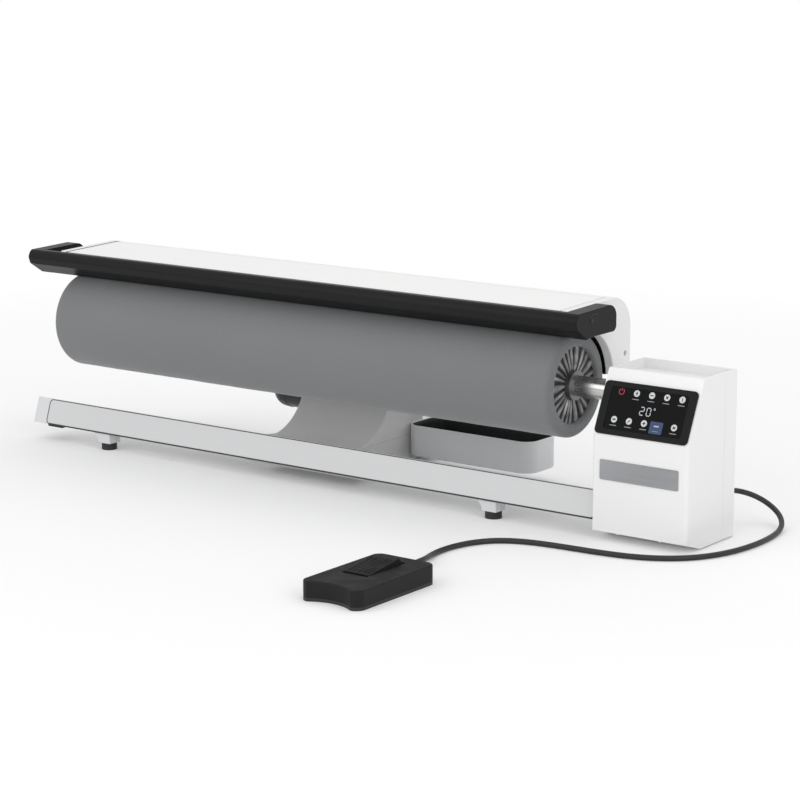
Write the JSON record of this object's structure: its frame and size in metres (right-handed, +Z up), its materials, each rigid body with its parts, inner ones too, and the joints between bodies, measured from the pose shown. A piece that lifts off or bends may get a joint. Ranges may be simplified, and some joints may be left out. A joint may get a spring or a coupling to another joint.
{
  "type": "flatwork ironer",
  "caption": "Benchtop flatwork ironer: padded motor-driven roller under a hinged heated shoe on a rear column, with a control box, finger guard, storage tray and foot pedal on a lead.",
  "frame": {"origin": "middle of the bounding box in plan, without the free lead, on the surface that the machine stands on", "axes": "+X along the roller towards the control box, +Y to the back, +Z up"},
  "size_m": [1.1587, 0.755, 0.283],
  "materials": {
    "white_paint": "satin powder coat",
    "white_plastic": "satin moulded",
    "guard_black": "satin moulded",
    "grey_cloth": "woven cotton",
    "steel": "turned",
    "zinc": "zinc plated",
    "alloy": "polished sole",
    "cast": "as cast",
    "light_grey_plastic": "fine texture",
    "dark_plastic": "fine texture",
    "black_plastic": "fine texture",
    "motor_black": "satin enamel",
    "panel_glass": "gloss",
    "label": "satin film",
    "rubber": "matt",
    "cord_rubber": "satin",
    "blanket": "felt",
    "board": "solder mask",
    "brass": "machined"
  },
  "bodies": {
    "machine": {"drive_frame": "cast", "shaft_bearings": "brass", "idler_pin": "steel", "roller_motor": "motor_black", "box_front_shell": "white_plastic", "box_rear_shell": "white_plastic", "box_floor": "zinc", "top_pocket": "white_plastic", "control_bezel": "guard_black", "control_glass": "panel_glass", "circuit_boards": "board", "nameplate": "label", "cord_gland": "rubber", "mains_inlet": "black_plastic", "front_beam": "white_paint", "beam_end_cap": "light_grey_plastic", "foot_brackets": "light_grey_plastic", "rubber_feet": "rubber", "base_foot": "white_paint", "storage_tray": "light_grey_plastic", "tray_bracket": "zinc", "column_shell": "white_paint", "column_frame": "zinc", "hinge_shaft": "steel", "lift_motor": "motor_black", "pedal_base": "black_plastic", "pedal_shell": "dark_plastic", "pedal_pin": "steel", "pedal_switch": "black_plastic", "pedal_spring": "steel", "pedal_relief": "rubber", "pedal_cord": "cord_rubber"},
    "roller": {"roller_drum": "steel", "roller_padding": "grey_cloth", "end_discs": "zinc", "gathered_covers": "grey_cloth", "hub_collars": "steel", "roller_shaft": "steel", "shaft_gear": "steel"},
    "idler": {"idler_gear": "steel"},
    "roller_motor_rotor": {"motor_pinion": "steel"},
    "head": {"hot_plate": "alloy", "strip_heaters": "zinc", "insulation_blanket": "blanket", "shoe_ribs": "zinc", "head_beam": "zinc", "head_arm": "cast", "sector_gear": "steel", "top_cover": "white_paint", "rear_cover": "white_paint", "left_side_plate": "white_plastic", "right_side_plate": "white_plastic", "head_screws": "zinc", "thermostat": "black_plastic"},
    "lift_motor_rotor": {"lift_pinion": "steel"},
    "guard": {"guard_bar": "guard_black", "left_guard_arm": "guard_black", "right_guard_arm": "guard_black"},
    "pedal_treadle": {"pedal_pad": "dark_plastic"},
    "switch_plunger": {"pedal_plunger": "black_plastic"}
  },
  "joints": [
    {"name": "roller_spin", "type": "hinge", "parent": "machine", "child": "roller", "pos_m": [-0.07, 0.1095, 0.1785], "axis": [1, 0, 0], "continuous": true},
    {"name": "idler_spin", "type": "hinge", "parent": "machine", "child": "idler", "pos_m": [0.441, 0.11679, 0.13714], "axis": [1, 0, 0], "continuous": true},
    {"name": "roller_motor_spin", "type": "hinge", "parent": "machine", "child": "roller_motor_rotor", "pos_m": [0.441, 0.11124, 0.10562], "axis": [1, 0, 0], "continuous": true},
    {"name": "head_lift", "type": "hinge", "parent": "machine", "child": "head", "pos_m": [-0.07, 0.2275, 0.143], "axis": [-1, 0, 0], "range_deg": [0, 12]},
    {"name": "lift_motor_spin", "type": "hinge", "parent": "machine", "child": "lift_motor_rotor", "pos_m": [-0.117, 0.20965, 0.0923], "axis": [-1, 0, 0], "range_deg": [-61.81, 0.1]},
    {"name": "guard_tilt", "type": "hinge", "parent": "head", "child": "guard", "pos_m": [-0.07, 0.1357, 0.2676], "axis": [-1, 0, 0], "range_deg": [0, 5]},
    {"name": "pedal_press", "type": "hinge", "parent": "machine", "child": "pedal_treadle", "pos_m": [0.338, -0.3125, 0.019], "axis": [-1, 0, 0], "range_deg": [0, 6], "stiffness_Nm_per_rad": 1.2, "springref_deg": -1.15, "deforming": ["pedal_spring"]},
    {"name": "plunger_travel", "type": "slide", "parent": "machine", "child": "switch_plunger", "axis": [0, 0, -1], "range_m": [0, 0.0053]}
  ],
  "couplings": [
    {"joint": "idler_spin", "follows": "roller_spin", "ratio": -0.75},
    {"joint": "roller_motor_spin", "follows": "roller_spin", "ratio": 2.25},
    {"joint": "lift_motor_spin", "follows": "head_lift", "ratio": -5.1429},
    {"joint": "plunger_travel", "follows": "pedal_press", "m_per_rad": 0.05}
  ]
}
